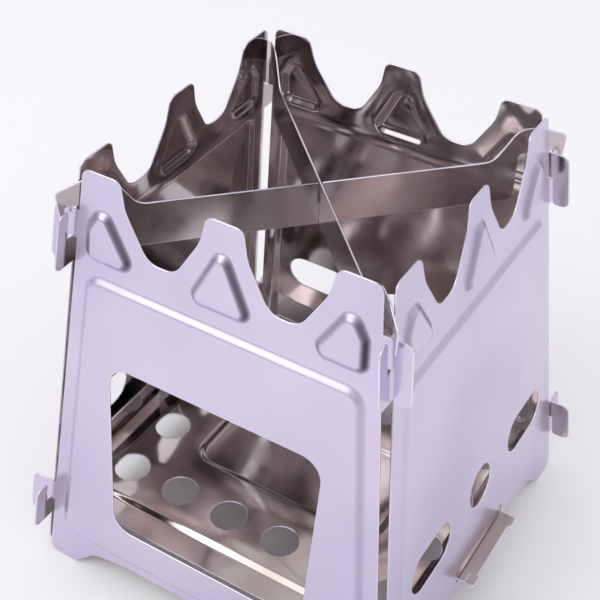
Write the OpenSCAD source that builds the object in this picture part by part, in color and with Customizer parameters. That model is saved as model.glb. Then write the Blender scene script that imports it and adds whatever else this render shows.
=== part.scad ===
// Knock-down twig stove of thin stainless sheet: four leaning wall plates that hook
// together at the corners, two crossed pot strips and a perforated ash tray.
// Origin at the centre of the footprint on the ground, +Z up, feed window towards -Y.

/* [Stove] */
// Height of the stove, ground to tooth tips
height = 155; // [145:1:170]
// Distance between opposite plates at the tooth tips
top_w = 98; // [96:0.5:104]
// Distance between opposite plates at the ground
base_w = 133.6; // [130:0.2:138]
// Thickness of the steel sheet
sheet = 0.6; // [0.5:0.05:0.7]
// Running clearance between pieces that slide or hook into each other
clear = 0.35; // [0.3:0.05:0.5]

/* [Teeth] */
// Width of the middle tooth at its tip
mid_tooth_w = 11.8; // [9:0.2:14]
// Width of the valley between two teeth
valley_w = 28; // [25:0.5:29]
// Depth of the valley
valley_depth = 22; // [20:0.1:23]
// Depth at which a valley's steep sides turn in towards its floor
valley_knee = 9; // [8:0.5:10]
// Width of the valley's floor before its corners are rounded
valley_floor = 9; // [8:0.5:10]
// Rounding of the tooth tips
tooth_round = 3.2; // [1:0.1:3.4]

/* [Feet] */
// Width of each foot on the ground
foot_w = 11; // [8:0.5:14]
// Height of the arch between the feet
arch_h = 10; // [8:0.5:11]
// Half width of the arch's level middle
arch_half = 31; // [24:1:34]
// Half width at the arch's shoulder
shoulder_half = 45; // [42:0.5:47]
// Height of the arch's shoulder
shoulder_h = 8; // [6:0.5:9]

/* [Corner hooks] */
// Tooth tips down to the top of the upper hooks, along the sheet
upper_hook_drop = 14; // [12:0.5:15]
// Height of an upper hook
upper_hook_h = 19.5; // [17:0.5:21]
// Width of an upper hook outside the other plate
upper_hook_w = 4.5; // [4.3:0.1:5.5]
// Ground up to the bottom of the lower hooks, along the sheet
lower_hook_z = 15.5; // [14:0.5:18]
// Height of a lower hook
lower_hook_h = 17; // [14:0.5:19]
// Width of a lower hook outside the other plate
lower_hook_w = 5.5; // [5.3:0.1:7]
// Rounding of a hook's upper outer corner
hook_round = 3; // [1:0.5:3.5]
// Lift that frees the front and back plates from the hooks
lift = 11; // [10.5:0.5:12]
// Side plate's edge short of the corner
side_gap = 1.4; // [1.2:0.1:2]

/* [Pressed panels] */
// Tooth tips down to the panel's top, along the sheet
panel_drop = 33; // [32.5:0.5:36]
// Flat border round the panel
panel_border = 4.2; // [4:0.2:7]
// Height of the pressing above the sheet
press_h = 1.5; // [1:0.1:1.8]
// Width of the pressing's sloping edge
bevel_w = 3; // [2:0.2:3.4]
// Rounding of the panel's corners
panel_round = 6.5; // [5:0.5:10]
// Height of the pressed triangles under the teeth
badge_h = 1.6; // [1:0.1:1.8]
// Width of a pressed triangle's sloping edge
badge_bevel = 3; // [2.6:0.1:3.2]
// Rounding of a pressed triangle's corners
badge_round = 4; // [3.8:0.1:4.2]

// Pressed triangles to the panel below them
badge_gap = 4; // [4:0.1:5]
// Width of the middle triangle before its corners are rounded
mid_badge_w = 25; // [24:0.5:26]
// Height of the middle triangle before its corners are rounded
mid_badge_h = 25; // [24:0.5:26]

/* [Feed window] */
// Height of the window's top above the ground
window_top = 93; // [80:1:100]
// Height of the window's sill above the ground
window_sill = 28; // [26:1:36]
// Width of the window at its top
window_top_w = 74; // [64:1:76]
// Width of the window at its sill
window_sill_w = 71; // [60:1:76]
// Rounding of the window's corners
window_round = 7; // [4:0.5:12]

/* [Vent holes] */
// Height of the vent row above the ground
vent_z = 46; // [42:1:70]
// Diameter of the middle vent
vent_d = 15; // [10:0.5:18]
// Length of an outer vent
vent_slot_l = 26; // [20:1:28]
// Height of an outer vent
vent_slot_h = 14; // [10:0.5:16]
// Middle vent to outer vent, centre to centre
vent_pitch = 34.5; // [33:0.5:36]

/* [Pot strips] */
// Tooth tips down to the strip's level top edge
strip_drop = 15.2; // [14.5:0.1:17]
// Height of the strip's body
strip_h = 14.8; // [13:0.2:17]
// Corner line to the end of the strip's body, along the diagonal
strip_end_gap = 10; // [8:0.5:12]
// Tooth tips down to the top of the strip's raised end
neck_drop = 4.8; // [4:0.2:6]
// Length of the raised end inside the corner
neck_l = 11; // [10.5:0.5:12]
// Run of the sloping shoulder up to the raised end
ramp_l = 7; // [6:0.5:9]
// Corner line to the inner edge of the strip's end claw
claw_gap = 2.4; // [2.4:0.1:3]
// Width of the end claw
claw_w = 2.5; // [2.4:0.1:4]
// Length of the claw below the raised end's underside
claw_drop = 3; // [3:0.5:5]

/* [Ash tray] */
// Height of the tray's underside above the ground
tray_z = 18.4; // [18:0.1:20]
// Width of the tray, front to back
tray_w = 116; // [110:1:118]
// Height of the slot for the tray's tongue
tongue_slot_h = 4.6; // [4:0.1:5]
// Width of the tray's tongue
tongue_w = 34; // [26:1:38]
// Reach of the tongue past the pressed panel
tongue_out = 4.9; // [4:0.1:5]
// Width of the lug at each end of the tongue
lug_w = 5; // [3:0.5:7]
// Reach of the lugs past the tongue
lug_out = 0.9; // [0.5:0.1:1]
// Diameter of the tray's air holes
tray_hole_d = 12.4; // [8:0.2:13]
// Pitch of the air holes, side to side
tray_pitch_x = 20.4; // [20:0.1:20.8]
// Pitch of the air holes, front to back
tray_pitch_y = 23.9; // [23:0.1:25]
// Flat border of the tray at its front and back
tray_border = 8; // [6:0.5:8.5]
// Flat border of the tray at its two sides
tray_side_border = 4; // [3:0.5:4.5]
// Length of the dish in the middle of the tray
dish_l = 75; // [70:1:78]
// Width of the dish in the middle of the tray
dish_w = 41; // [36:1:46]
// Rounding of the tray's corners
tray_round = 8; // [5:0.5:10]
// Height of the tray's turned-up ears
tray_ear_h = 19; // [14:0.5:22]
// Length of a turned-up ear
tray_ear_l = 34; // [28:1:38]
// Distance of an ear from the tray's middle
tray_ear_gap = 5; // [3:0.5:10]
// Rounding of an ear's upper corners
tray_ear_round = 6; // [3:0.5:8]

/* [Hidden] */
$fn = 48;
steel = [0.8, 0.79, 0.84];
steel_dark = [0.62, 0.6, 0.66];
eps = 0.05;
past = 2 * sheet + badge_h;
cut_h = sheet + 3 * past;
arc_steps = 6;
knee_in = 1.8;
knee_round = 14;
floor_round = 6;
// Corners of an end triangle: inwards from the plate's top corner and up from the triangle's foot
end_badge = [[0.2, 0], [1, 12], [4.8, 18.2], [9.8, 18.2], [18.2, 4.2], [15.2, 0]];
lean = atan((base_w - top_w) / 2 / height);
slope_h = height / cos(lean);
front_gap = sheet / 2 + lift * tan(lean) + 1.8 * clear;
lap_far = sheet / 2 + lift * tan(lean) + 1.2 * clear;
lap_near = sheet / 2 + 1.7 * clear;
upper_out = lap_far + upper_hook_w;
lower_out = lap_far + lower_hook_w;
upper_hi = slope_h - upper_hook_drop;
upper_lo = upper_hi - upper_hook_h;
lower_lo = lower_hook_z;
lower_hi = lower_lo + lower_hook_h;
valley_x = mid_tooth_w / 2 + valley_w / 2;
vent_v = vent_z / cos(lean);
window_top_v = window_top / cos(lean);
window_sill_v = window_sill / cos(lean);
leg_round = 1.2;
heel_round = 2.5;
foot_round = 4;
strip_lap_half = sheet / 2 + clear;
strip_top = height - strip_drop;
strip_bottom = strip_top - strip_h;
strip_mid = (strip_top + strip_bottom) / 2;
neck_top = height - neck_drop;
neck_bottom = upper_hi * cos(lean) + clear;
neck_corner = sqrt(2) * plane_d(neck_bottom);
claw_fall = 3.6;
claw_tip_round = 0.5;
claw_round = 2.2;
ramp_round = 5.5;
tray_mid = tray_z + sheet / 2;
tray_right = plane_d(tray_mid) - sheet / 2 - 4 * clear;
tray_left = -(plane_d(tray_mid) - sheet - 3 * clear);
tongue_end = plane_d(tray_mid) + sheet / 2 + press_h + tongue_out;
slot_below = 1.3;
tray_cols = 6;
tray_rows = 4;

// Distance of a wall's middle plane from the stove's axis at a height
function plane_d(z) = base_w / 2 - z * tan(lean);

// Corner line's place across a plate, at a distance up its slope
function corner_s(v) = base_w / 2 - v * sin(lean);

// Outline point at a distance up the slope and out from the corner line, with a corner radius
function edge(v, out, r = 0) = [corner_s(v) + out, v, r];

function unit(a) = a / norm(a);

function flat(p) = [p[0], p[1]];

// Points of one corner b between a and c, rounded by its own radius
function corner(a, b, c) =
    b[2] < eps
        ? [flat(b)]
        : let (
            u = unit(flat(a) - flat(b)),
            w = unit(flat(c) - flat(b)),
            half = acos(u * w) / 2,
            mid = flat(b) + unit(u + w) * b[2] / sin(half),
            from = flat(b) + u * b[2] / tan(half) - mid,
            start = atan2(from[1], from[0]),
            turn = (180 - 2 * half) * (cross(u, w) < 0 ? 1 : -1)
        )
        [
            for (k = [0:arc_steps])
            let (a = start + turn * k / arc_steps)
            mid + b[2] * [cos(a), sin(a)]
        ];

// Outline whose corners [x, y, r] are rounded
function rounded(path) =
    let (n = len(path))
    [for (i = [0:n - 1]) each corner(path[(i + n - 1) % n], path[i], path[(i + 1) % n])];

// Right half of an outline, followed by its mirror image
function mirrored(half) =
    let (n = len(half))
    concat(half, [for (i = [n - 1:-1:0]) [-half[i][0], half[i][1], half[i][2]]]);

// Outline moved inwards by d, its points counter-clockwise
function inset(pts, d) =
    let (n = len(pts))
    [
        for (i = [0:n - 1])
        let (
            p = unit(pts[i] - pts[(i + n - 1) % n]),
            q = unit(pts[(i + 1) % n] - pts[i]),
            side = [-p[1], p[0]],
            m = unit(side + [-q[1], q[0]])
        )
        pts[i] + m * d / (m * side)
    ];

// Solid between an outline inset by d0 at z0 and by d1 at z1
module frustum(pts, z0, d0, z1, d1) {
    n = len(pts);
    low = [for (p = inset(pts, d0)) [p[0], p[1], z0]];
    high = [for (p = inset(pts, d1)) [p[0], p[1], z1]];
    ends = [[for (i = [0:n - 1]) i], [for (i = [n - 1:-1:0]) n + i]];
    sides = [for (i = [0:n - 1]) [i, n + i, n + (i + 1) % n, (i + 1) % n]];
    polyhedron(concat(low, high), concat(ends, sides));
}

// Pressed-up relief that stands h above the sheet's face, its sloping edge bevel wide
module relief(pts, h, bevel) {
    root = sheet - eps;
    frustum(pts, sheet - root, -bevel / h * root, sheet + h, bevel);
}

// Sheet of even thickness: child 0 is its flat outline, child 1 the relief pressed into it
module pressed_sheet() {
    difference() {
        union() {
            linear_extrude(sheet) children(0);
            children(1);
        }
        translate([0, 0, -sheet]) children(1);
    }
}

// Corners of the valley, from the end tooth in to the middle tooth
function valley_points() =
    let (knee = valley_w / 2 - knee_in)
    [
        [valley_x + knee, slope_h - valley_knee, knee_round],
        [valley_x + valley_floor / 2, slope_h - valley_depth, floor_round],
        [valley_x - valley_floor / 2, slope_h - valley_depth, floor_round],
        [valley_x - knee, slope_h - valley_knee, knee_round]
    ];

// Foot and arch, from the middle of the arch out to the corner
function foot_points(gap) = [
    [arch_half, arch_h, 10],
    [shoulder_half, shoulder_h, 8],
    [corner_s(0) - gap - foot_w, 0, 1.5],
    edge(0, -gap, foot_round)
];

// Hook of a front or back plate: its slot opens downwards
function ear_points(lo, hi, out) =
    let (mid = (lo + hi) / 2 + clear / 2)
    [
        edge(mid, -front_gap),
        edge(mid, lap_near),
        edge(lo, lap_near, leg_round),
        edge(lo, out, heel_round),
        edge(hi, out, hook_round),
        edge(hi, -front_gap)
    ];

// Hook of a side plate: its slot opens upwards
function tab_points(lo, hi, out) =
    let (mid = (lo + hi) / 2 - clear / 2)
    [
        edge(lo, -side_gap),
        edge(lo, out, heel_round),
        edge(hi, out, hook_round),
        edge(hi, lap_far, leg_round),
        edge(mid, lap_far),
        edge(mid, -side_gap)
    ];

// Tooth tips and valleys, from the corner in to the middle
function tooth_points(gap) = concat(
    [
        edge(slope_h, -gap, tooth_round),
        [valley_x + valley_w / 2, slope_h, tooth_round]
    ],
    valley_points(),
    [[mid_tooth_w / 2, slope_h, tooth_round]]
);

function front_outline() = rounded(mirrored(concat(
    foot_points(front_gap),
    ear_points(lower_lo, lower_hi, lower_out),
    ear_points(upper_lo, upper_hi, upper_out),
    tooth_points(front_gap)
)));

function side_outline() = rounded(mirrored(concat(
    foot_points(side_gap),
    tab_points(lower_lo, lower_hi, lower_out),
    tab_points(upper_lo, upper_hi, upper_out),
    tooth_points(side_gap)
)));

// Outline of the big pressed panel, a flat border inside the plate's edges
function panel_outline() =
    let (
        top = slope_h - panel_drop,
        low = arch_h + panel_border - 1,
        border = panel_border + front_gap
    )
    rounded(mirrored([
        edge(low, -border, panel_round),
        edge(top, -border, panel_round)
    ]));

// Outline of the rounded triangle pressed under an end tooth
function end_badge_outline() =
    let (low = slope_h - panel_drop + badge_gap, outer = top_w / 2 - front_gap)
    rounded([for (p = end_badge) [outer - p[0], low + p[1], badge_round]]);

// Outline of the triangle pressed under the middle tooth
function mid_badge_outline() =
    let (low = slope_h - panel_drop + badge_gap)
    rounded([
        [mid_badge_w / 2, low, badge_round],
        [0, low + mid_badge_h, badge_round],
        [-mid_badge_w / 2, low, badge_round]
    ]);

module plate_relief() {
    relief(panel_outline(), press_h, bevel_w);
    relief(mid_badge_outline(), badge_h, badge_bevel);
    relief(end_badge_outline(), badge_h, badge_bevel);
    mirror([1, 0, 0]) relief(end_badge_outline(), badge_h, badge_bevel);
}

// Wall stood on its slope: a drawn plate becomes the wall on the side at the angle round the stove
module wall(angle) {
    rotate([0, 0, angle])
        translate([0, -base_w / 2, 0])
        rotate([90 - lean, 0, 0])
        translate([0, 0, -sheet / 2])
        children();
}

module through() {
    translate([0, 0, -past]) linear_extrude(cut_h) children();
}

module window_shape() {
    polygon(rounded(mirrored([
        [window_sill_w / 2, window_sill_v, window_round],
        [window_top_w / 2, window_top_v, window_round]
    ])));
}

// Row of vents low in a wall: a round one between two oblong ones
module vents() {
    half = (vent_slot_l - vent_slot_h) / 2;
    translate([0, vent_v, -past]) cylinder(h = cut_h, d = vent_d);
    for (side = [-1, 1])
        translate([side * vent_pitch, vent_v, -past]) {
            for (end = [-1, 1])
                translate([end * half, 0, 0]) cylinder(h = cut_h, d = vent_slot_h);
            translate([-half, -vent_slot_h / 2, 0]) cube([2 * half, vent_slot_h, cut_h]);
        }
}

// Slot that the tray's tongue passes through, with most of its room above the tongue
module tongue_slot() {
    slot_v = tray_mid / cos(lean);
    translate([-tongue_w / 2 - 2 * clear, slot_v - slot_below, -past])
        cube([tongue_w + 4 * clear, tongue_slot_h, cut_h]);
}

module front_sheet() {
    pressed_sheet() {
        polygon(front_outline());
        plate_relief();
    }
}

module side_sheet() {
    pressed_sheet() {
        polygon(side_outline());
        plate_relief();
    }
}

module front_plate() {
    color(steel)
        wall(0)
        difference() {
            front_sheet();
            through() window_shape();
        }
}

module back_plate() {
    color(steel)
        wall(180)
        difference() {
            front_sheet();
            vents();
        }
}

module right_plate() {
    color(steel)
        wall(90)
        difference() {
            side_sheet();
            vents();
            tongue_slot();
        }
}

module left_plate() {
    color(steel)
        wall(-90)
        difference() {
            side_sheet();
            vents();
        }
}

// Right half of a pot strip's outline, from the middle of its lower edge to the middle of its top edge
function strip_half() =
    let (
        body_end = neck_corner - strip_end_gap,
        claw_in = neck_corner + claw_gap,
        claw_low = neck_bottom - claw_drop,
        claw_top = neck_top - claw_fall
    )
    [
        [body_end, strip_bottom, 2],
        [body_end, neck_bottom, 1],
        [claw_in, neck_bottom, 0.6],
        [claw_in + 0.3, claw_low, claw_tip_round],
        [claw_in + 1.8, claw_low, claw_tip_round],
        [claw_in + claw_w, claw_top, claw_round],
        [neck_corner - 4, neck_top, ramp_round],
        [neck_corner - neck_l, neck_top, ramp_round],
        [neck_corner - neck_l - ramp_l, strip_top, ramp_round]
    ];

// Strip with a slot halfway through its height, open at the side given by its sign
module strip(slot_side) {
    translate([0, sheet / 2, 0])
        rotate([90, 0, 0])
        linear_extrude(sheet)
        difference() {
            polygon(rounded(mirrored(strip_half())));
            slot_end = strip_mid - slot_side * clear / 2;
            slot_out = strip_mid + slot_side * strip_h;
            translate([-strip_lap_half, min(slot_end, slot_out)])
                square([2 * strip_lap_half, abs(slot_out - slot_end)]);
        }
}

module lower_strip() {
    color(steel_dark) rotate([0, 0, 45]) strip(1);
}

module upper_strip() {
    color(steel_dark) rotate([0, 0, -45]) strip(-1);
}

// Outline of the flat tray with its tongue, seen from above
function tray_outline() = rounded([
    [tray_left, -tray_w / 2, tray_round],
    [tray_right, -tray_w / 2, tray_round],
    [tray_right, -tongue_w / 2, 0],
    [tongue_end + lug_out, -tongue_w / 2, 0.8],
    [tongue_end + lug_out, lug_w - tongue_w / 2, 0.8],
    [tongue_end, lug_w - tongue_w / 2, 0],
    [tongue_end, tongue_w / 2 - lug_w, 0],
    [tongue_end + lug_out, tongue_w / 2 - lug_w, 0.8],
    [tongue_end + lug_out, tongue_w / 2, 0.8],
    [tray_right, tongue_w / 2, 0],
    [tray_right, tray_w / 2, tray_round],
    [tray_left, tray_w / 2, tray_round]
]);

// Rectangle with rounded corners between two x values, centred front to back
function tray_rect(x0, x1, w, r) = rounded([
    [x0, -w / 2, r],
    [x1, -w / 2, r],
    [x1, w / 2, r],
    [x0, w / 2, r]
]);

// Raised ring of the tray round its sunken dish
module tray_relief() {
    ring = tray_rect(
        tray_left + tray_side_border,
        tray_right - tray_side_border,
        tray_w - 2 * tray_border,
        tray_round
    );
    dish = tray_rect(-dish_l / 2, dish_l / 2, dish_w, tray_round);
    difference() {
        relief(ring, press_h, bevel_w);
        frustum(dish, sheet, bevel_w, sheet + 2 * press_h, -bevel_w);
    }
}

// Ear turned up along the left wall, leaning with it
module tray_ear() {
    foot_x = tray_left + sheet / 2;
    translate([foot_x, tray_ear_gap + tray_ear_l / 2, 0])
        rotate([0, lean, 0])
        rotate([90, 0, 90])
        translate([0, 0, -sheet / 2])
        linear_extrude(sheet)
        polygon(rounded([
            [-tray_ear_l / 2, 0, 0],
            [tray_ear_l / 2, 0, 0],
            [tray_ear_l / 2, tray_ear_h, tray_ear_round],
            [-tray_ear_l / 2, tray_ear_h, tray_ear_round]
        ]));
}

module ash_tray() {
    color(steel)
        translate([0, 0, tray_z])
        difference() {
            union() {
                pressed_sheet() {
                    polygon(tray_outline());
                    tray_relief();
                }
                tray_ear();
                mirror([0, 1, 0]) tray_ear();
            }
            for (i = [0:tray_cols - 1], j = [0:tray_rows - 1])
                if (i == 0 || i == tray_cols - 1 || j == 0 || j == tray_rows - 1)
                    translate([
                        (i - (tray_cols - 1) / 2) * tray_pitch_x,
                        (j - (tray_rows - 1) / 2) * tray_pitch_y,
                        -past
                    ])
                        cylinder(h = cut_h, d = tray_hole_d);
        }
}

front_plate();
right_plate();
back_plate();
left_plate();
lower_strip();
upper_strip();
ash_tray();
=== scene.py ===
import math

import bpy
from mathutils import Matrix, Vector
from mathutils.geometry import delaunay_2d_cdt


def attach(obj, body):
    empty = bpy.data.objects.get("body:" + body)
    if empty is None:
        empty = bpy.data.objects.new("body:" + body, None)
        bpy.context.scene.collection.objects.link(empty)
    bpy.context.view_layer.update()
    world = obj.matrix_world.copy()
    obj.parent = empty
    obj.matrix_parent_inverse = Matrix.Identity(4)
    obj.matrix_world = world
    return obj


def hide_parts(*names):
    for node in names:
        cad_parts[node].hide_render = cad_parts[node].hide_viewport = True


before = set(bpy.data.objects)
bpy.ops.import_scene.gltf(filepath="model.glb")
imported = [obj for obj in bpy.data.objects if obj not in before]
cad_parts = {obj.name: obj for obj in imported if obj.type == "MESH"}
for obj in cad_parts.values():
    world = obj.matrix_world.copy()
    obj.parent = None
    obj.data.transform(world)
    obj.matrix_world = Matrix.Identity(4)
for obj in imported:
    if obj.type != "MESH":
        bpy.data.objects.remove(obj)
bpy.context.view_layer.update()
print("frame loaded")

mm = 0.001
stove = {
    "height": 155 * mm,  # ground to tooth tips
    "topWidth": 98 * mm,  # between opposite walls at the tips
    "baseWidth": 133.6 * mm,  # between opposite walls on the ground
    "sheet": 0.6 * mm,
    "clearance": 0.35 * mm,
    "lift": 11 * mm,  # frees the front and back walls from the hooks
}
lean = math.atan((stove["baseWidth"] - stove["topWidth"]) / 2 / stove["height"])
slopeHeight = stove["height"] / math.cos(lean)
halfSheet = stove["sheet"] / 2
liftShift = stove["lift"] * math.tan(lean)


# Colours, nodes and materials

def linear(hexColour):
    parts = [int(hexColour[i:i + 2], 16) / 255 for i in (0, 2, 4)]
    return [p / 12.92 if p <= 0.04045 else ((p + 0.055) / 1.055) ** 2.4 for p in parts] + [1]


def addNode(tree, kind, settings=None, links=None):
    node = tree.nodes.new(kind)
    for key, value in (settings or {}).items():
        if isinstance(key, str) and hasattr(node, key):
            setattr(node, key, value)
        else:
            node.inputs[key].default_value = value
    for key, source in (links or {}).items():
        tree.links.new(source, node.inputs[key])
    return node


mixFactor, mixFirst, mixSecond, mixResult = 0, 6, 7, 2  # sockets of a Mix node set to colours

polish = {  # what all the steels share
    "cloudDetail": 3.0, "cloudRoughness": 0.45, "cloudLow": 0.36, "cloudHigh": 0.64,
    "smudgeDetail": 4.0, "smudgeRoughness": 0.6, "smudgeLow": 0.35, "smudgeHigh": 0.75,
    "grainDetail": 2.0, "grainDepth": 0.02 * mm, "waveDetail": 1.0,
}


def polishedSteel(name, look):
    material = bpy.data.materials.new(name)
    material.use_nodes = True
    tree = material.node_tree
    tree.nodes.clear()
    where = addNode(tree, "ShaderNodeTexCoord").outputs["Object"]

    # Cloudy patches where the polish differs, a few centimetres across
    cloud = addNode(tree, "ShaderNodeTexNoise",
                    {"Scale": 1 / look["cloudSize"], "Detail": polish["cloudDetail"],
                     "Roughness": polish["cloudRoughness"]}, {"Vector": where})
    patch = addNode(tree, "ShaderNodeMapRange",
                    {"From Min": polish["cloudLow"], "From Max": polish["cloudHigh"]},
                    {"Value": cloud.outputs["Fac"]})
    tone = addNode(tree, "ShaderNodeMix",
                   {"data_type": "RGBA", mixFirst: linear(look["colour"]),
                    mixSecond: linear(look["shade"])}, {mixFactor: patch.outputs["Result"]})

    # Painted shade: pressed slopes are mixed towards a dark colour, most where they face right, in place of
    # the dark surroundings they would mirror
    drawn = addNode(tree, "ShaderNodeAttribute", {"attribute_name": "drawn"})
    share = addNode(tree, "ShaderNodeMath", {"operation": "MULTIPLY", 1: look["drawnShare"]},
                    {0: drawn.outputs["Fac"]})
    paintedShadeTone = addNode(tree, "ShaderNodeMix", {"data_type": "RGBA", mixSecond: linear(look["drawn"])},
                     {mixFactor: share.outputs["Value"], mixFirst: tone.outputs[mixResult]})

    # Rolling lines of the sheet, drawn coarser than the real ones so that they show
    stretch = addNode(tree, "ShaderNodeMapping", {"Scale": look["grainScale"]}, {"Vector": where})
    grain = addNode(tree, "ShaderNodeTexNoise", {"Scale": 1.0, "Detail": polish["grainDetail"]},
                    {"Vector": stretch.outputs["Vector"]})

    # Finger smudges dull the mirror in places
    smudge = addNode(tree, "ShaderNodeTexNoise",
                     {"Scale": 1 / look["smudgeSize"], "Detail": polish["smudgeDetail"],
                      "Roughness": polish["smudgeRoughness"]}, {"Vector": where})
    dull = addNode(tree, "ShaderNodeMapRange",
                   {"From Min": polish["smudgeLow"], "From Max": polish["smudgeHigh"],
                    "To Min": look["roughness"], "To Max": look["smudged"]},
                   {"Value": smudge.outputs["Fac"]})

    # The press tool leaves its slopes duller than the flat sheet
    pressed = addNode(tree, "ShaderNodeAttribute", {"attribute_name": "pressed"})
    rough = addNode(tree, "ShaderNodeMath", {"operation": "MULTIPLY_ADD", 1: look["pressDulling"]},
                    {0: pressed.outputs["Fac"], 2: dull.outputs["Result"]})

    # Thin sheet is never quite flat: long soft waves bend what it mirrors
    wave = addNode(tree, "ShaderNodeTexNoise",
                   {"Scale": 1 / look["waveSize"], "Detail": polish["waveDetail"]}, {"Vector": where})
    waves = addNode(tree, "ShaderNodeBump",
                    {"Strength": look["waveStrength"], "Distance": look["waveDepth"]},
                    {"Height": wave.outputs["Fac"]})
    lines = addNode(tree, "ShaderNodeBump",
                    {"Strength": look["grainStrength"], "Distance": polish["grainDepth"]},
                    {"Height": grain.outputs["Fac"], "Normal": waves.outputs["Normal"]})

    shader = addNode(tree, "ShaderNodeBsdfPrincipled", {"Metallic": 1.0},
                     {"Base Color": paintedShadeTone.outputs[mixResult], "Roughness": rough.outputs["Value"],
                      "Normal": lines.outputs["Normal"]})
    addNode(tree, "ShaderNodeOutputMaterial", None, {"Surface": shader.outputs["BSDF"]})
    return material


# A grain scale of 700 puts the rolling lines 1.4 mm apart, and 60 makes them 17 mm long
outsideLook = {
    "colour": "DAD1E6", "shade": "CAC2DB", "cloudSize": 70 * mm,
    "grainScale": (700, 700, 60), "grainStrength": 0.12,
    "roughness": 0.20, "smudged": 0.31, "smudgeSize": 22 * mm,
    "waveSize": 45 * mm, "waveStrength": 0.30, "waveDepth": 0.6 * mm,
    # painted shade: the dark colour that pressed slopes are mixed towards, and how far
    "drawn": "3F3848", "drawnShare": 0.95, "pressDulling": 0.16,
}
# painted shade: the inside faces get greyer, darker colours than the outside faces of the same sheet
insideLook = {
    "colour": "DCD4D6", "shade": "B4A8AA", "cloudSize": 30 * mm,
    "grainScale": (700, 700, 60), "grainStrength": 0.10,
    "roughness": 0.07, "smudged": 0.18, "smudgeSize": 18 * mm,
    "waveSize": 26 * mm, "waveStrength": 0.45, "waveDepth": 0.8 * mm,
    # painted shade: the dark colour that pressed slopes are mixed towards inside, and how far
    "drawn": "8A7E84", "drawnShare": 0.3, "pressDulling": 0.05,
}
stripLook = dict(outsideLook, colour="D4CCCE", shade="AEA3A3", grainScale=(60, 60, 700), roughness=0.10)
trayLook = dict(insideLook, colour="DAD2D4", shade="B0A3A0", grainScale=(60, 700, 700), cloudSize=40 * mm)
# painted highlight: the edge beads are coloured paler than the sheet
edgeLook = dict(outsideLook, colour="F0ECF6", shade="DCD6E6", roughness=0.18, waveStrength=0.0)

# Cold-rolled stainless sheet, mirror polished: outside it mirrors the pale room
outsideSteel = polishedSteel("mirror_polished_stainless_outside", outsideLook)
# The same sheet inside the box, where it mirrors the dark hollow and its neighbours; its colours are also a
# greyer, darker copy of the outside's, a painted shade
insideSteel = polishedSteel("mirror_polished_stainless_inside", insideLook)
# Blanked strip, polished on both faces: greyer than the walls, with its grain lengthways
stripSteel = polishedSteel("mirror_polished_stainless_strip", stripLook)
# Pressed tray, as shiny as the walls' inside, with wider clouds
traySteel = polishedSteel("mirror_polished_stainless_tray", trayLook)
# Deburred cut edges, which catch the light as a thin bright line, and whose colour is paler than the
# sheet's as a painted highlight
edgeSteel = polishedSteel("stainless_edge_painted_highlight", edgeLook)
print("materials made")


# Outlines: a corner is (x, y, radius) and a point is a vector, in metres in the sheet's own plane

detail = {
    "arcStep": 0.16,  # radians between the points of a round corner
    "sharpRadius": 0.01 * mm,  # corners below this radius stay sharp
    "circleSides": 40,
    "mitreLimit": 0.2,  # keeps a sharp corner near its place when the outline moves
    "shortSide": 1e-16,  # square metres, in place of a side of no length
    "pressingRings": 8,  # rings of points down each pressed slope
    "weld": 1e-7,  # metres
    "sharpAngle": 50,  # degrees
    "probe": 0.1 * mm,  # how far to either side a slope's direction is felt
    # painted shade on pressed slopes: the share a slope facing left gets, against one facing right
    "leftShare": 0.5,  # how dark a slope that faces left is, against one that faces right
}


def halfWidthAt(v):  # of a wall, at v up its slope
    return stove["baseWidth"] / 2 - v * math.sin(lean)


def wallDistance(z):  # from the stove's middle to a wall's mid plane, at height z
    return stove["baseWidth"] / 2 - z * math.tan(lean)


def edgePoint(v, out, radius=0.0):
    return (halfWidthAt(v) + out, v, radius)


def rounded(path):
    points = []
    for i, (x, y, radius) in enumerate(path):
        here = Vector((x, y))
        if radius < detail["sharpRadius"]:
            points.append(here)
            continue
        before = (Vector(path[i - 1][:2]) - here).normalized()
        after = (Vector(path[(i + 1) % len(path)][:2]) - here).normalized()
        half = before.angle(after) / 2
        middle = here + (before + after).normalized() * radius / math.sin(half)
        start = here + before * radius / math.tan(half) - middle
        side = before.x * after.y - before.y * after.x
        turn = (math.pi - 2 * half) * (1 if side < 0 else -1)
        count = max(2, math.ceil(abs(turn) / detail["arcStep"]))
        angle = math.atan2(start.y, start.x)
        for k in range(count + 1):
            bend = angle + turn * k / count
            points.append(middle + Vector((math.cos(bend), math.sin(bend))) * radius)
    return points


def mirrored(half):
    return list(half) + [(-x, y, radius) for x, y, radius in reversed(half)]


def inset(points, distance):
    moved = []
    for i, here in enumerate(points):
        p = (here - points[i - 1]).normalized()
        q = (points[(i + 1) % len(points)] - here).normalized()
        side = Vector((-p.y, p.x))
        middle = (side + Vector((-q.y, q.x))).normalized()
        moved.append(here + middle * distance / max(detail["mitreLimit"], middle.dot(side)))
    return moved


def circlePoints(x, y, radius, count=detail["circleSides"]):
    angles = [2 * math.pi * k / count for k in range(count)]
    return [Vector((x + radius * math.cos(angle), y + radius * math.sin(angle))) for angle in angles]


def rectangle(x0, x1, y0, y1, radius):
    return rounded([(x0, y0, radius), (x1, y0, radius), (x1, y1, radius), (x0, y1, radius)])


def insidePolygon(point, polygon):
    x, y = point
    hit = False
    for i in range(len(polygon)):
        (x0, y0), (x1, y1) = polygon[i - 1], polygon[i]
        if (y0 > y) != (y1 > y) and x < (x1 - x0) * (y - y0) / (y1 - y0) + x0:
            hit = not hit
    return hit


def depthInside(point, polygon):  # negative outside
    nearest = math.inf
    for i in range(len(polygon)):
        a, b = polygon[i - 1], polygon[i]
        along = b - a
        t = (point - a).dot(along) / max(detail["shortSide"], along.length_squared)
        t = min(1.0, max(0.0, t))
        nearest = min(nearest, (point - a - along * t).length)
    return nearest if insidePolygon(point, polygon) else -nearest


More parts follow.
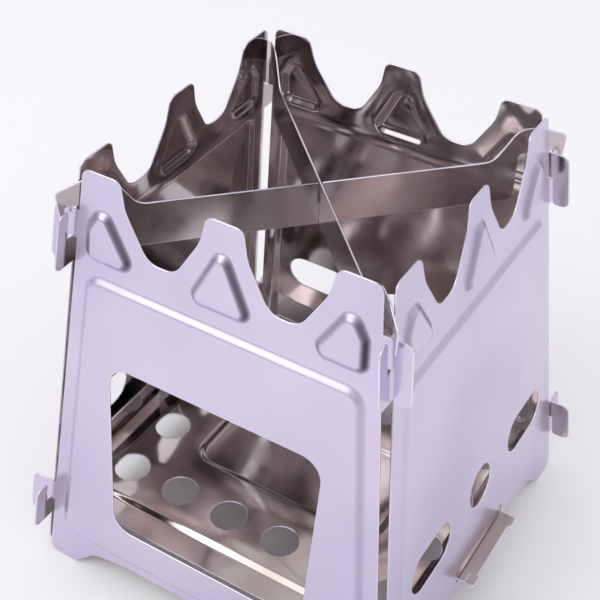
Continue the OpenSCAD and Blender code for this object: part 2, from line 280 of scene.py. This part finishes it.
def joinLoops(loops):
    points, edges = [], []
    for loop in loops:
        first = len(points)
        points += loop
        edges += [(first + k, first + (k + 1) % len(loop)) for k in range(len(loop))]
    return points, edges


# Sheet metal: a flat outline with openings, and reliefs pressed into it

def reliefHeight(point, reliefs):
    height = 0.0
    for relief in reliefs:
        share = min(1.0, max(0.0, depthInside(point, relief["outline"]) / relief["bevel"]))
        height += relief["height"] * (0.5 - 0.5 * math.cos(math.pi * share))
    return height


def pressMarks(point, reliefs):
    # How steep the pressing is here, and how much painted shade its slope gets, which depends on where the
    # slope faces
    steepest, darkest, step = 0.0, 0.0, Vector((detail["probe"], 0))
    for relief in reliefs:
        outline = relief["outline"]
        share = depthInside(point, outline) / relief["bevel"]
        if 0 < share < 1:
            gain = depthInside(point + step, outline) - depthInside(point - step, outline)
            rise = gain / (2 * step.x)
            # painted shade: full on slopes facing right, a share of it on slopes facing left
            facing = max(-rise, detail["leftShare"] * rise)
            steep = math.sin(math.pi * share)
            steepest = max(steepest, steep)
            darkest = max(darkest, relief["drawn"] * facing * steep)
    return steepest, darkest


def makeObject(name, points, faces, materials, materialOf=None, edges=()):
    mesh = bpy.data.meshes.new(name)
    mesh.from_pydata([tuple(p) for p in points], list(edges), faces)
    for material in materials:
        mesh.materials.append(material)
    if materialOf:
        mesh.polygons.foreach_set("material_index", materialOf)
    mesh.validate()
    mesh.update()
    piece = bpy.data.objects.new(name, mesh)
    bpy.context.scene.collection.objects.link(piece)
    return piece


def sheetMesh(name, outline, openings, reliefs, place, materials):
    # Each cut edge gets a bead half a sheet wide, so the flat sheet ends that much earlier
    trimmed = inset(outline, halfSheet)
    holes = [inset(hole, -halfSheet) for hole in openings]
    rings, ringCount = [], detail["pressingRings"]
    for relief in reliefs:
        rings += [inset(relief["outline"], relief["bevel"] * (k / ringCount)) for k in range(ringCount + 1)]
    points, edges = joinLoops([trimmed] + holes + rings)
    flat, _, triangles, _, _, _ = delaunay_2d_cdt(points, edges, [], 0, detail["weld"])

    kept = []
    for triangle in triangles:
        centre = sum((flat[i] for i in triangle), Vector((0, 0))) / 3
        if insidePolygon(centre, trimmed) and not any(insidePolygon(centre, hole) for hole in holes):
            kept.append(tuple(triangle))
    heights = [reliefHeight(p, reliefs) for p in flat]
    count = len(flat)
    solid = [place @ Vector((p.x, p.y, h + halfSheet)) for p, h in zip(flat, heights)]
    solid += [place @ Vector((p.x, p.y, h - halfSheet)) for p, h in zip(flat, heights)]

    # Front and back faces, then a face along each side that only one triangle has
    faces, materialOf, sides = [], [], {}
    for a, b, c in kept:
        if (flat[b] - flat[a]).cross(flat[c] - flat[a]) < 0:
            b, c = c, b
        faces += [(a, b, c), (a + count, c + count, b + count)]
        materialOf += [0, 1]
        for i, j in ((a, b), (b, c), (c, a)):
            sides[(i, j)] = True
    for i, j in sides:
        if (j, i) not in sides:
            faces.append((i, i + count, j + count, j))
            materialOf.append(0)
    piece = makeObject(name, solid, faces, materials, materialOf)
    piece.data.shade_smooth()
    piece.data.set_sharp_from_angle(angle=math.radians(detail["sharpAngle"]))
    # point attributes: how steep the pressing is, for roughness, and the painted shade on its slopes
    marks = [pressMarks(p, reliefs) for p in flat]
    for column, layer in enumerate(("pressed", "drawn")):
        values = piece.data.attributes.new(layer, "FLOAT", "POINT")
        values.data.foreach_set("value", [mark[column] for mark in marks] * 2)

    rims = []
    for loop in [trimmed] + holes:
        rims.append([place @ Vector((p.x, p.y, reliefHeight(p, reliefs))) for p in loop])
    return piece, rims


# Geometry Nodes: a round bead that follows every cut edge of a sheet

bead = {"radius": halfSheet, "sides": 8}


def beadTree():
    tree = bpy.data.node_groups.new("cutEdgeBead", "GeometryNodeTree")
    tree.interface.new_socket("Geometry", in_out="INPUT", socket_type="NodeSocketGeometry")
    radius = tree.interface.new_socket("Bead Radius", in_out="INPUT", socket_type="NodeSocketFloat")
    sides = tree.interface.new_socket("Bead Sides", in_out="INPUT", socket_type="NodeSocketInt")
    steel = tree.interface.new_socket("Steel", in_out="INPUT", socket_type="NodeSocketMaterial")
    tree.interface.new_socket("Geometry", in_out="OUTPUT", socket_type="NodeSocketGeometry")
    given = addNode(tree, "NodeGroupInput")
    path = addNode(tree, "GeometryNodeMeshToCurve", None, {"Mesh": given.outputs["Geometry"]})
    section = addNode(tree, "GeometryNodeCurvePrimitiveCircle", None,
                      {"Resolution": given.outputs["Bead Sides"], "Radius": given.outputs["Bead Radius"]})
    tube = addNode(tree, "GeometryNodeCurveToMesh", None,
                   {"Curve": path.outputs["Curve"], "Profile Curve": section.outputs["Curve"]})
    smooth = addNode(tree, "GeometryNodeSetShadeSmooth", None, {"Geometry": tube.outputs["Mesh"]})
    real = addNode(tree, "GeometryNodeRealizeInstances", None, {"Geometry": smooth.outputs["Geometry"]})
    dressed = addNode(tree, "GeometryNodeSetMaterial", None,
                      {"Geometry": real.outputs["Geometry"], "Material": given.outputs["Steel"]})
    addNode(tree, "NodeGroupOutput", None, {"Geometry": dressed.outputs["Geometry"]})
    return tree, {"radius": radius.identifier, "sides": sides.identifier, "steel": steel.identifier}


edgeBead, edgeInputs = beadTree()


def sweepEdges(name, rims):
    points, edges = joinLoops(rims)
    guide = makeObject(name + "_path", points, [], [], edges=edges)
    modifier = guide.modifiers.new("bead", "NODES")
    modifier.node_group = edgeBead
    modifier[edgeInputs["radius"]] = bead["radius"]
    modifier[edgeInputs["sides"]] = bead["sides"]
    modifier[edgeInputs["steel"]] = edgeSteel
    bpy.context.view_layer.update()
    result = guide.evaluated_get(bpy.context.evaluated_depsgraph_get())
    mesh = bpy.data.meshes.new_from_object(result)
    mesh.name = name
    guide.modifiers.remove(modifier)
    bpy.data.objects.remove(guide)
    piece = bpy.data.objects.new(name, mesh)
    bpy.context.scene.collection.objects.link(piece)
    return piece


def dress(name, body, node, outline, openings, reliefs, place, materials):
    sheet, rims = sheetMesh(name, outline, openings, reliefs, place, materials)
    rim = sweepEdges(name + "Edge", rims)
    for piece in (sheet, rim):
        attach(piece, body)
    if node:
        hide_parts(node)
    print(name, len(sheet.data.polygons), "faces,", len(rim.data.polygons), "in its edge bead")


# Walls: x runs along the wall and y up its slope, from the middle of its foot

wall = {
    "middleTooth": 11.8 * mm, "toothRound": 3.2 * mm,
    "valleyWidth": 28 * mm, "valleyDepth": 22 * mm, "valleyFloor": 9 * mm, "floorRound": 6 * mm,
    "valleyKnee": 9 * mm, "kneeIn": 1.8 * mm, "kneeRound": 14 * mm,
    "footWidth": 11 * mm, "footInnerRound": 1.5 * mm, "footOuterRound": 4 * mm,
    "archHeight": 10 * mm, "archHalf": 31 * mm, "archRound": 10 * mm,
    "shoulderHalf": 45 * mm, "shoulderHeight": 8 * mm, "shoulderRound": 8 * mm,
    "sideGap": 1.4 * mm,  # from a side wall's edge to the corner line
}
pressing = {
    "height": 1.5 * mm, "bevel": 3 * mm,
    "panelDrop": 33 * mm, "panelBorder": 4.2 * mm, "panelSink": 1 * mm, "panelRound": 6.5 * mm,
    # painted shade: the panel's slopes get a quarter of the full amount, the badges' slopes all of it
    "panelPaintedShade": 0.25,
    "badgeHeight": 1.6 * mm, "badgeBevel": 3 * mm, "badgeRound": 4 * mm, "badgeGap": 4 * mm,
    "middleBadgeWidth": 25 * mm, "middleBadgeHeight": 25 * mm, "badgePaintedShade": 1.0,
    # Corners of an end tooth's badge, in millimetres inwards and up
    "endBadge": [(0.2, 0), (1, 12), (4.8, 18.2), (9.8, 18.2), (18.2, 4.2), (15.2, 0)],
}
hooks = {
    "upperDrop": 14 * mm, "upperHeight": 19.5 * mm, "upperWidth": 4.5 * mm,
    "lowerStart": 15.5 * mm, "lowerHeight": 17 * mm, "lowerWidth": 5.5 * mm,
    "round": 3 * mm, "legRound": 1.2 * mm, "heelRound": 2.5 * mm,
    "frontPlay": 1.8, "farPlay": 1.2, "nearPlay": 1.7,  # how many clearances each gap has
}
window = {"top": 93 * mm, "sill": 28 * mm, "topWidth": 74 * mm, "sillWidth": 71 * mm, "round": 7 * mm}
vent = {
    "height": 46 * mm, "pitch": 34.5 * mm, "diameter": 15 * mm,
    "slotLength": 26 * mm, "slotHeight": 14 * mm,
    "endShare": 0.999,  # of half the slot's height, so that its end arcs don't quite meet
}

frontGap = halfSheet + liftShift + hooks["frontPlay"] * stove["clearance"]
lapFar = halfSheet + liftShift + hooks["farPlay"] * stove["clearance"]
lapNear = halfSheet + hooks["nearPlay"] * stove["clearance"]
upperHigh = slopeHeight - hooks["upperDrop"]
upperLow = upperHigh - hooks["upperHeight"]
lowerLow = hooks["lowerStart"]
lowerHigh = lowerLow + hooks["lowerHeight"]
valleyX = (wall["middleTooth"] + wall["valleyWidth"]) / 2


def earPoints(low, high, reach):  # a front or back wall's hook, slot open downwards
    middle = (low + high) / 2 + stove["clearance"] / 2
    return [
        edgePoint(middle, -frontGap), edgePoint(middle, lapNear),
        edgePoint(low, lapNear, hooks["legRound"]), edgePoint(low, reach, hooks["heelRound"]),
        edgePoint(high, reach, hooks["round"]), edgePoint(high, -frontGap)]


def tabPoints(low, high, reach):  # a side wall's hook, slot open upwards
    middle = (low + high) / 2 - stove["clearance"] / 2
    return [
        edgePoint(low, -wall["sideGap"]), edgePoint(low, reach, hooks["heelRound"]),
        edgePoint(high, reach, hooks["round"]), edgePoint(high, lapFar, hooks["legRound"]),
        edgePoint(middle, lapFar), edgePoint(middle, -wall["sideGap"])]


def valleyPoints():
    knee, floor = wall["valleyWidth"] / 2 - wall["kneeIn"], wall["valleyFloor"] / 2
    kneeHeight, floorHeight = slopeHeight - wall["valleyKnee"], slopeHeight - wall["valleyDepth"]
    return [
        (valleyX + knee, kneeHeight, wall["kneeRound"]), (valleyX + floor, floorHeight, wall["floorRound"]),
        (valleyX - floor, floorHeight, wall["floorRound"]), (valleyX - knee, kneeHeight, wall["kneeRound"])]


def wallOutline(gap, hookPoints):
    half = [
        (wall["archHalf"], wall["archHeight"], wall["archRound"]),
        (wall["shoulderHalf"], wall["shoulderHeight"], wall["shoulderRound"]),
        (halfWidthAt(0) - gap - wall["footWidth"], 0.0, wall["footInnerRound"]),
        edgePoint(0, -gap, wall["footOuterRound"])]
    half += hookPoints(lowerLow, lowerHigh, lapFar + hooks["lowerWidth"])
    half += hookPoints(upperLow, upperHigh, lapFar + hooks["upperWidth"])
    half += [
        edgePoint(slopeHeight, -gap, wall["toothRound"]),
        (valleyX + wall["valleyWidth"] / 2, slopeHeight, wall["toothRound"])]
    half += valleyPoints() + [(wall["middleTooth"] / 2, slopeHeight, wall["toothRound"])]
    return rounded(mirrored(half))


def wallReliefs():
    border = pressing["panelBorder"] + frontGap
    panelTop = slopeHeight - pressing["panelDrop"]
    panelFoot = wall["archHeight"] + pressing["panelBorder"] - pressing["panelSink"]
    panel = rounded(mirrored([
        edgePoint(panelFoot, -border, pressing["panelRound"]),
        edgePoint(panelTop, -border, pressing["panelRound"])]))

    soft, low = pressing["badgeRound"], panelTop + pressing["badgeGap"]
    outer = stove["topWidth"] / 2 - frontGap
    endBadge = [(outer - inwards * mm, low + up * mm, soft) for inwards, up in pressing["endBadge"]]
    mirroredBadge = [(-x, y, radius) for x, y, radius in reversed(endBadge)]
    halfBadge, peak = pressing["middleBadgeWidth"] / 2, low + pressing["middleBadgeHeight"]
    middleBadge = [(halfBadge, low, soft), (0.0, peak, soft), (-halfBadge, low, soft)]
    # each relief carries how much painted shade its slopes get
    reliefs = [{"outline": panel, "height": pressing["height"], "bevel": pressing["bevel"],
                "drawn": pressing["panelPaintedShade"]}]
    for badge in (endBadge, middleBadge, mirroredBadge):
        reliefs.append({"outline": rounded(badge), "height": pressing["badgeHeight"],
                        "bevel": pressing["badgeBevel"], "drawn": pressing["badgePaintedShade"]})
    return reliefs


def windowOpening():
    return rounded(mirrored([
        (window["sillWidth"] / 2, window["sill"] / math.cos(lean), window["round"]),
        (window["topWidth"] / 2, window["top"] / math.cos(lean), window["round"])]))


def ventOpenings():
    v = vent["height"] / math.cos(lean)
    halfLength, halfHeight = vent["slotLength"] / 2, vent["slotHeight"] / 2
    openings = [circlePoints(0, v, vent["diameter"] / 2)]
    for side in (-1, 1):
        x = side * vent["pitch"]
        openings.append(rectangle(x - halfLength, x + halfLength, v - halfHeight, v + halfHeight,
                                  halfHeight * vent["endShare"]))
    return openings


def wallPlace(quarterTurns):
    return (Matrix.Rotation(quarterTurns * math.pi / 2, 4, "Z")
            @ Matrix.Translation((0, -stove["baseWidth"] / 2, 0))
            @ Matrix.Rotation(math.pi / 2 - lean, 4, "X"))


# The ash tray's values stand here, because the right wall's slot follows them
tray = {
    "height": 18.4 * mm, "width": 116 * mm, "border": 8 * mm, "sideBorder": 4 * mm, "round": 8 * mm,
    "rightPlay": 4, "leftPlay": 3, "tonguePlay": 2,  # how many clearances each gap has
    "tongueWidth": 34 * mm, "tongueReach": 4.9 * mm,
    "slotHeight": 4.6 * mm, "slotBelow": 1.3 * mm, "slotRound": 0.4 * mm,
    "lugWidth": 5 * mm, "lugReach": 0.9 * mm, "lugRound": 0.8 * mm,
    "holeDiameter": 12.4 * mm, "pitchX": 20.4 * mm, "pitchY": 23.9 * mm,
    "columns": 6, "rows": 4, "holeSides": 36,
    # painted shade: the tray's pressed slopes get half of the full amount
    "dishLength": 75 * mm, "dishWidth": 41 * mm, "slopePaintedShade": 0.5,
    "earHeight": 19 * mm, "earLength": 34 * mm, "earGap": 5 * mm, "earRound": 6 * mm,
}
trayMiddle = tray["height"] + halfSheet


def tongueSlot():
    half = tray["tongueWidth"] / 2 + tray["tonguePlay"] * stove["clearance"]
    low = trayMiddle / math.cos(lean) - tray["slotBelow"]
    return rectangle(-half, half, low, low + tray["slotHeight"], tray["slotRound"])


frontShape = wallOutline(frontGap, earPoints)
sideShape = wallOutline(wall["sideGap"], tabPoints)
walls = [  # piece, body, node, outline, openings, quarter turns from the front
    ("frontWall", "front_wall", "front_plate", frontShape, [windowOpening()], 0),
    ("rightWall", "side_walls", "right_plate", sideShape, ventOpenings() + [tongueSlot()], 1),
    ("backWall", "back_wall", "back_plate", frontShape, ventOpenings(), 2),
    ("leftWall", "side_walls", "left_plate", sideShape, ventOpenings(), -1),
]
wallPressings = wallReliefs()
for name, body, node, shape, openings, quarterTurns in walls:
    dress(name, body, node, shape, openings, wallPressings, wallPlace(quarterTurns),
          [outsideSteel, insideSteel])
print("walls made")


# Crossed pot strips: x runs along the strip and y up

strip = {
    "drop": 15.2 * mm, "height": 14.8 * mm, "endGap": 10 * mm, "cornerRound": 2 * mm,
    "neckDrop": 4.8 * mm, "neckLength": 11 * mm, "neckIn": 4 * mm, "neckRound": 1 * mm,
    "ramp": 7 * mm, "rampRound": 5.5 * mm,
    "clawGap": 2.4 * mm, "clawWidth": 2.5 * mm, "clawDrop": 3 * mm, "clawFall": 3.6 * mm,
    "clawLean": 0.3 * mm, "clawTip": 1.5 * mm, "clawTipRound": 0.5 * mm,
    "clawInnerRound": 0.6 * mm, "clawRound": 2.2 * mm,
}


def stripOutline(slotSide):  # 1 for a slot open upwards, -1 for one open downwards
    top = stove["height"] - strip["drop"]
    bottom = top - strip["height"]
    middle = (top + bottom) / 2 - slotSide * stove["clearance"] / 2
    neckTop = stove["height"] - strip["neckDrop"]
    neckBottom = upperHigh * math.cos(lean) + stove["clearance"]
    corner = math.sqrt(2) * wallDistance(neckBottom)
    bodyEnd, rampTop = corner - strip["endGap"], corner - strip["neckLength"]
    clawIn, clawLow = corner + strip["clawGap"], neckBottom - strip["clawDrop"]
    bend, tip = strip["rampRound"], strip["clawTipRound"]
    lap = halfSheet + stove["clearance"]
    half = [
        (bodyEnd, bottom, strip["cornerRound"]), (bodyEnd, neckBottom, strip["neckRound"]),
        (clawIn, neckBottom, strip["clawInnerRound"]), (clawIn + strip["clawLean"], clawLow, tip),
        (clawIn + strip["clawLean"] + strip["clawTip"], clawLow, tip),
        (clawIn + strip["clawWidth"], neckTop - strip["clawFall"], strip["clawRound"]),
        (corner - strip["neckIn"], neckTop, bend), (rampTop, neckTop, bend),
        (rampTop - strip["ramp"], top, bend),
    ]
    if slotSide > 0:
        half += [(lap, top, 0.0), (lap, middle, 0.0)]
    else:
        half = [(lap, middle, 0.0), (lap, bottom, 0.0)] + half
    return rounded(mirrored(half))


for name, body, node, slotSide in (("lowerPotStrip", "lower_strip_body", "lower_strip", 1),
                                   ("upperPotStrip", "upper_strip_body", "upper_strip", -1)):
    place = Matrix.Rotation(slotSide * math.pi / 4, 4, "Z") @ Matrix.Rotation(math.pi / 2, 4, "X")
    dress(name, body, node, stripOutline(slotSide), [], [], place, [stripSteel, stripSteel])
print("strips made")


# Ash tray: x runs from the left wall to the right one, y from front to back

trayRight = wallDistance(trayMiddle) - halfSheet - tray["rightPlay"] * stove["clearance"]
trayLeft = -(wallDistance(trayMiddle) - stove["sheet"] - tray["leftPlay"] * stove["clearance"])
tongueEnd = wallDistance(trayMiddle) + halfSheet + pressing["height"] + tray["tongueReach"]


def trayOutline():
    half, tongue = tray["width"] / 2, tray["tongueWidth"] / 2
    lug, lugEnd, small = tongue - tray["lugWidth"], tongueEnd + tray["lugReach"], tray["lugRound"]
    return rounded([
        (trayLeft, -half, tray["round"]), (trayRight, -half, tray["round"]), (trayRight, -tongue, 0.0),
        (lugEnd, -tongue, small), (lugEnd, -lug, small), (tongueEnd, -lug, 0.0), (tongueEnd, lug, 0.0),
        (lugEnd, lug, small), (lugEnd, tongue, small), (trayRight, tongue, 0.0),
        (trayRight, half, tray["round"]), (trayLeft, half, tray["round"])])


def trayReliefs():  # a raised floor with a dish sunk into its middle
    half = tray["width"] / 2 - tray["border"]
    left, right = trayLeft + tray["sideBorder"], trayRight - tray["sideBorder"]
    halfLength, halfWidth = tray["dishLength"] / 2, tray["dishWidth"] / 2
    floor = rectangle(left, right, -half, half, tray["round"])
    dish = rectangle(-halfLength, halfLength, -halfWidth, halfWidth, tray["round"])
    # the tray's reliefs carry their share of painted shade too
    return [{"outline": outline, "height": height, "bevel": pressing["bevel"], "drawn": tray["slopePaintedShade"]}
            for outline, height in ((floor, pressing["height"]), (dish, -pressing["height"]))]


def trayHoles():  # the outer ring of a grid
    holes = []
    lastColumn, lastRow = tray["columns"] - 1, tray["rows"] - 1
    for i in range(tray["columns"]):
        for j in range(tray["rows"]):
            if i in (0, lastColumn) or j in (0, lastRow):
                x, y = (i - lastColumn / 2) * tray["pitchX"], (j - lastRow / 2) * tray["pitchY"]
                holes.append(circlePoints(x, y, tray["holeDiameter"] / 2, tray["holeSides"]))
    return holes


dress("ashTray", "tray_body", "ash_tray", trayOutline(), trayHoles(), trayReliefs(),
      Matrix.Translation((0, 0, trayMiddle)), [traySteel, traySteel])

earHalf, earTop = tray["earLength"] / 2, tray["earHeight"]
earShape = rounded([(-earHalf, 0.0, 0.0), (earHalf, 0.0, 0.0),
                    (earHalf, earTop, tray["earRound"]), (-earHalf, earTop, tray["earRound"])])
for side, name in ((-1, "trayEarFront"), (1, "trayEarBack")):
    foot = (trayLeft + halfSheet, side * (tray["earGap"] + earHalf), tray["height"])
    place = (Matrix.Translation(foot) @ Matrix.Rotation(lean, 4, "Y")
             @ Matrix.Rotation(math.pi / 2, 4, "Z") @ Matrix.Rotation(math.pi / 2, 4, "X"))
    dress(name, "tray_body", None, earShape, [], [], place, [traySteel, traySteel])
print("tray made")


# Studio: a plain pale floor, a soft room and two soft boxes

studio = {
    "floorSize": 6.0, "floor": "FDFCFE", "floorRoughness": 0.85,
    "zenith": "FFFFFF", "wall": "D8D6DD", "ground": "A5A2AA", "roomStrength": 0.92,
    "keyPower": 3.6, "keySize": 0.9, "keyPlace": (-0.55, -0.75, 0.95),
    "fillPower": 1.2, "fillSize": 1.0, "fillPlace": (0.95, -0.35, 0.7),
    "target": (0, 0, 0.07),  # metres, near the middle of the stove
}


def paleFloor():
    half = studio["floorSize"] / 2
    corners = [(-half, -half, 0), (half, -half, 0), (half, half, 0), (-half, half, 0)]
    material = bpy.data.materials.new("white_paper_floor")
    material.use_nodes = True
    shader = material.node_tree.nodes["Principled BSDF"]
    shader.inputs["Base Color"].default_value = linear(studio["floor"])
    shader.inputs["Roughness"].default_value = studio["floorRoughness"]
    floor = makeObject("studioFloor", corners, [(0, 1, 2, 3)], [material])


def softRoom():
    world = bpy.data.worlds.new("softRoom")
    bpy.context.scene.world = world
    world.use_nodes = True
    tree = world.node_tree
    tree.nodes.clear()
    where = addNode(tree, "ShaderNodeTexCoord").outputs["Generated"]
    split = addNode(tree, "ShaderNodeSeparateXYZ", None, {"Vector": where})
    height = addNode(tree, "ShaderNodeMapRange", {"From Min": -1.0, "From Max": 1.0},
                     {"Value": split.outputs["Z"]})
    ramp = addNode(tree, "ShaderNodeValToRGB", None, {"Fac": height.outputs["Result"]})
    stops = ramp.color_ramp.elements
    stops[0].color, stops[1].color = linear(studio["ground"]), linear(studio["zenith"])
    stops.new(0.5).color = linear(studio["wall"])  # halfway, at the horizon
    light = addNode(tree, "ShaderNodeBackground", {"Strength": studio["roomStrength"]},
                    {"Color": ramp.outputs["Color"]})
    addNode(tree, "ShaderNodeOutputWorld", None, {"Surface": light.outputs["Background"]})


def softBox(name, power, size, position):
    lamp = bpy.data.lights.new(name, "AREA")
    lamp.energy, lamp.size = power, size
    box = bpy.data.objects.new(name, lamp)
    box.location = position
    aim = Vector(studio["target"]) - Vector(position)
    box.rotation_euler = aim.to_track_quat("-Z", "Y").to_euler()
    bpy.context.scene.collection.objects.link(box)


def photoCamera():
    # Where the photograph was taken from, worked out from the walls' corners
    view = {
        "yaw": -0.533, "pitch": 0.694, "roll": 0.028,  # radians
        "across": 6.485, "down": -47.084, "distance": 354.314,  # in hundredths of the top width
        "focalPixels": 1222.0, "imageWidth": 600, "sensorWidth": 36, "clipStart": 10 * mm,
    }
    unit = stove["topWidth"] / 100
    yaw, pitch, roll = view["yaw"], view["pitch"], view["roll"]
    ahead = Vector((math.sin(yaw) * math.cos(pitch), math.cos(yaw) * math.cos(pitch), -math.sin(pitch)))
    level = Vector((math.cos(yaw), -math.sin(yaw), 0))
    upright = level.cross(ahead)
    right = level * math.cos(roll) + upright * math.sin(roll)
    up = upright * math.cos(roll) - level * math.sin(roll)
    centre = -(right * view["across"] - up * view["down"] + ahead * view["distance"]) * unit
    centre.z += stove["height"]
    lens = bpy.data.cameras.new("photoCamera")
    lens.sensor_width = view["sensorWidth"]
    lens.lens = view["focalPixels"] / view["imageWidth"] * lens.sensor_width
    lens.clip_start = view["clipStart"]
    camera = bpy.data.objects.new("photoCamera", lens)
    turn = Matrix((right, up, -ahead)).transposed()
    camera.matrix_world = Matrix.Translation(centre) @ turn.to_4x4()
    bpy.context.scene.collection.objects.link(camera)
    bpy.context.scene.camera = camera


paleFloor()
softRoom()
softBox("keySoftBox", studio["keyPower"], studio["keySize"], studio["keyPlace"])
softBox("fillSoftBox", studio["fillPower"], studio["fillSize"], studio["fillPlace"])
photoCamera()
bpy.context.scene.view_settings.view_transform = "Standard"
print("studio made")
